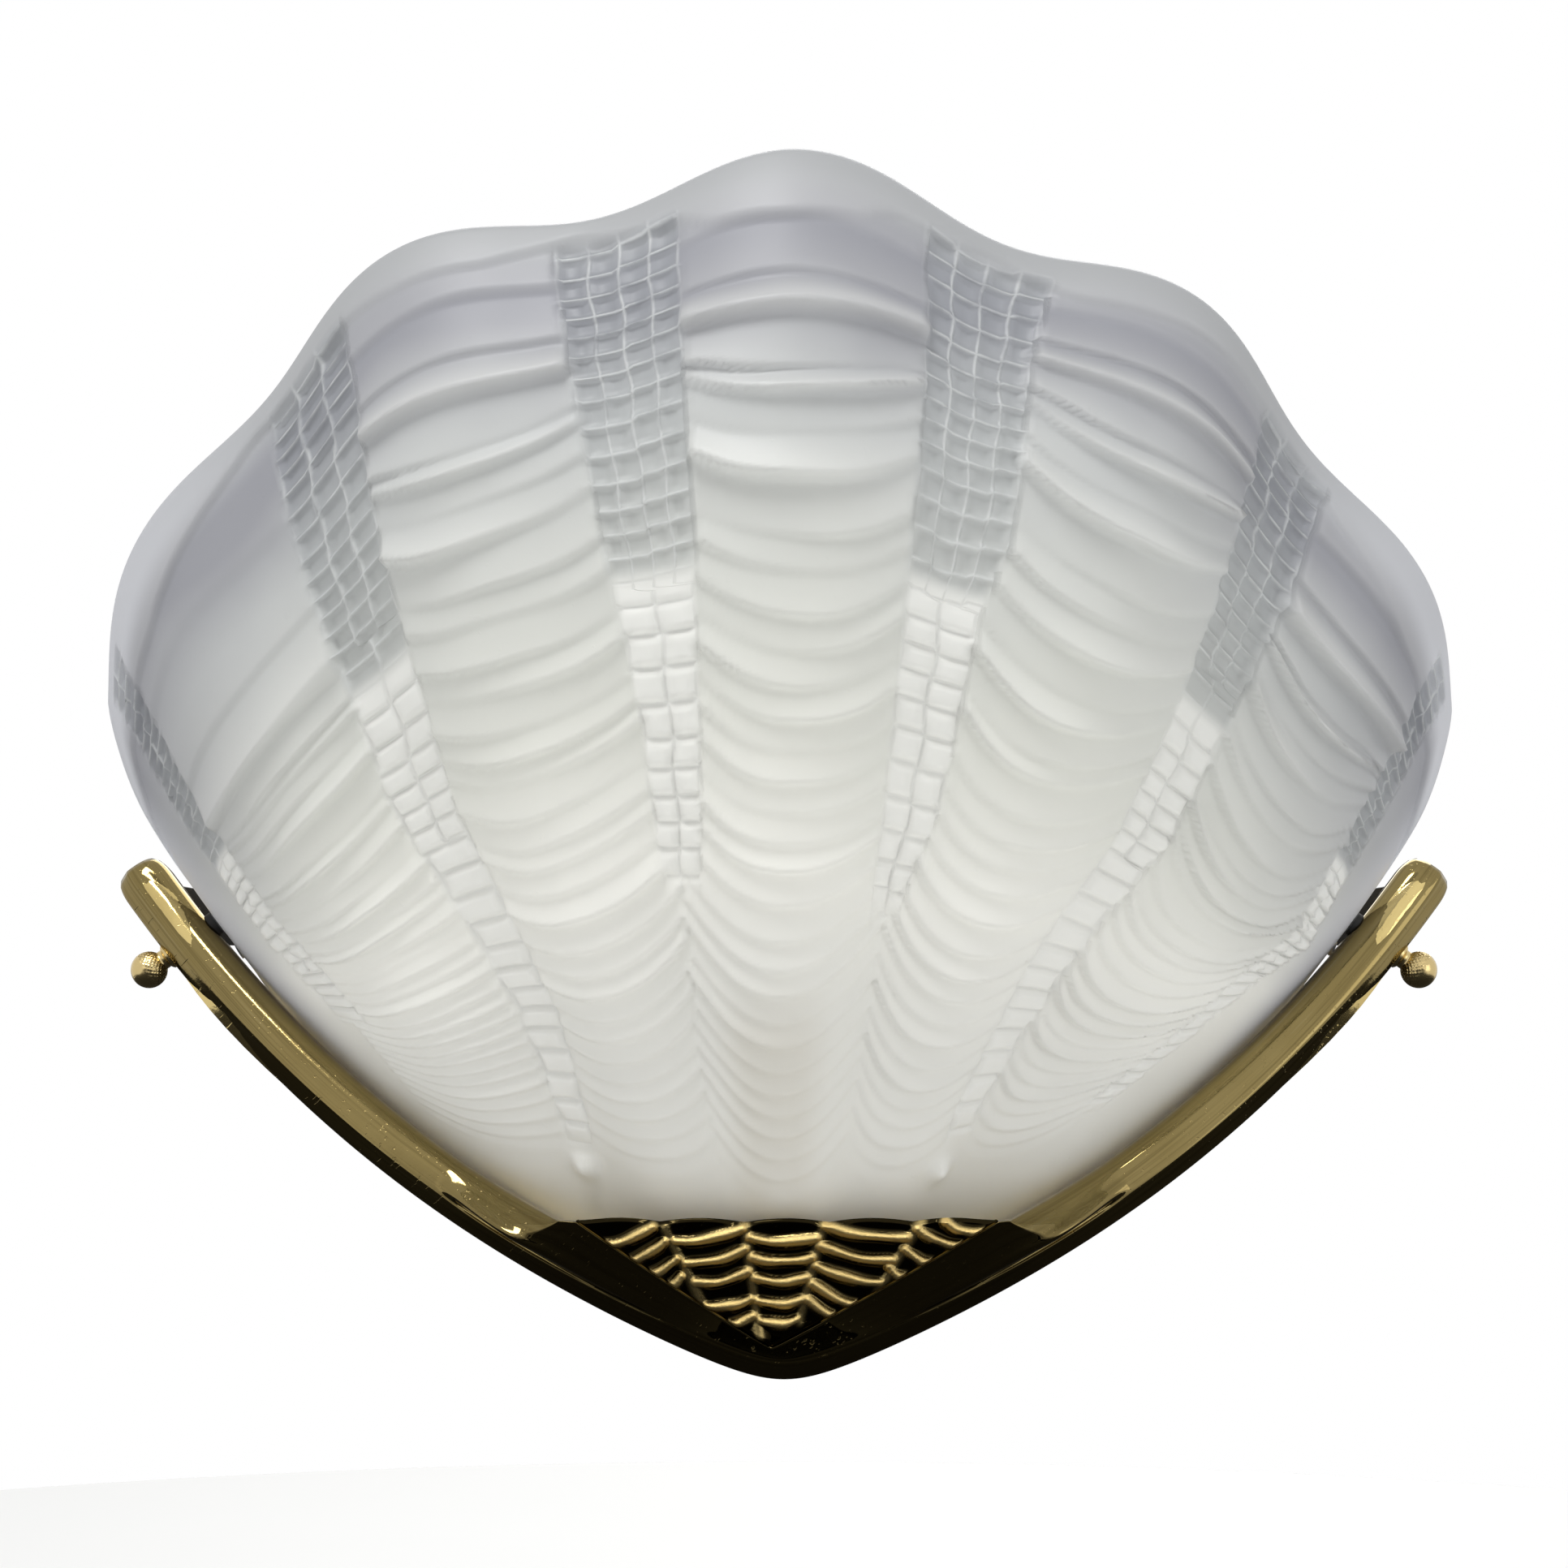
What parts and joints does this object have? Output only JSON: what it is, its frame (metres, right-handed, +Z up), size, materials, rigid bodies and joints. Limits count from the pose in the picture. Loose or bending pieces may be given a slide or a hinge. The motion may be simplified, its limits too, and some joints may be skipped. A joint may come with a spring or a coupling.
{
  "type": "shell wall sconce",
  "caption": "Wall light with a five-lobed pressed glass scallop shade standing in a cast brass V cradle, clamped by two ball-headed thumb screws.",
  "frame": {"origin": "middle of the two wall fixing holes, on the back face of the wall plate", "axes": "+X to the right seen from the room, -Y out of the wall to the front, +Z up"},
  "size_m": [0.2886, 0.1159, 0.2502],
  "materials": {
    "pressed_glass": "satin, acid-etched, with bubbles",
    "polished_brass": "cast, polished and lightly scratched, rough where the mould shows",
    "turned_brass": "turned and knurled, tarnished",
    "black_steel": "black paint",
    "zinc_steel": "bright zinc",
    "contact_brass": "plain",
    "cream_plastic": "moulded",
    "white_ceramic": "glazed",
    "black_rubber": "matt",
    "opal_glass": "opal",
    "nickel_cap": "satin"
  },
  "bodies": {
    "root": {"cradle": "polished_brass", "cradle_screws": "zinc_steel", "wall_plate": "black_steel", "holder_bracket": "black_steel", "bracket_rivets": "zinc_steel", "cable_grommet": "black_rubber", "threaded_nipple": "contact_brass", "nipple_nut": "contact_brass", "star_washer": "zinc_steel", "holder_cap": "cream_plastic", "holder_body": "cream_plastic", "holder_ring": "cream_plastic", "holder_insert": "white_ceramic", "holder_terminals": "contact_brass", "thread_sleeve": "contact_brass", "centre_contact": "contact_brass", "terminal_block": "white_ceramic", "terminal_screws": "contact_brass", "block_screw": "zinc_steel", "earth_washer": "contact_brass", "earth_screw": "contact_brass"},
    "shade": {"glass_shell": "pressed_glass"},
    "lamp": {"lamp_contact": "nickel_cap", "lamp_cap": "nickel_cap", "lamp_glass": "opal_glass"},
    "screw_left": {"screw_pad_left": "black_rubber", "thumb_screw_left": "turned_brass"},
    "screw_right": {"screw_pad_right": "black_rubber", "thumb_screw_right": "turned_brass"}
  },
  "joints": [
    {"name": "shade_lift", "type": "slide", "parent": "root", "child": "shade", "axis": [0, -0.309, 0.9511], "range_m": [0, 0.07]},
    {"name": "lamp_out", "type": "slide", "parent": "root", "child": "lamp", "axis": [0, 0, 1], "range_m": [0, 0.025]},
    {"name": "screw_travel_left", "type": "slide", "parent": "root", "child": "screw_left", "axis": [0.8192, 0, 0.5736], "range_m": [-0.0028, 0]},
    {"name": "screw_travel_right", "type": "slide", "parent": "root", "child": "screw_right", "axis": [-0.8192, 0, 0.5736], "range_m": [-0.0028, 0]}
  ]
}
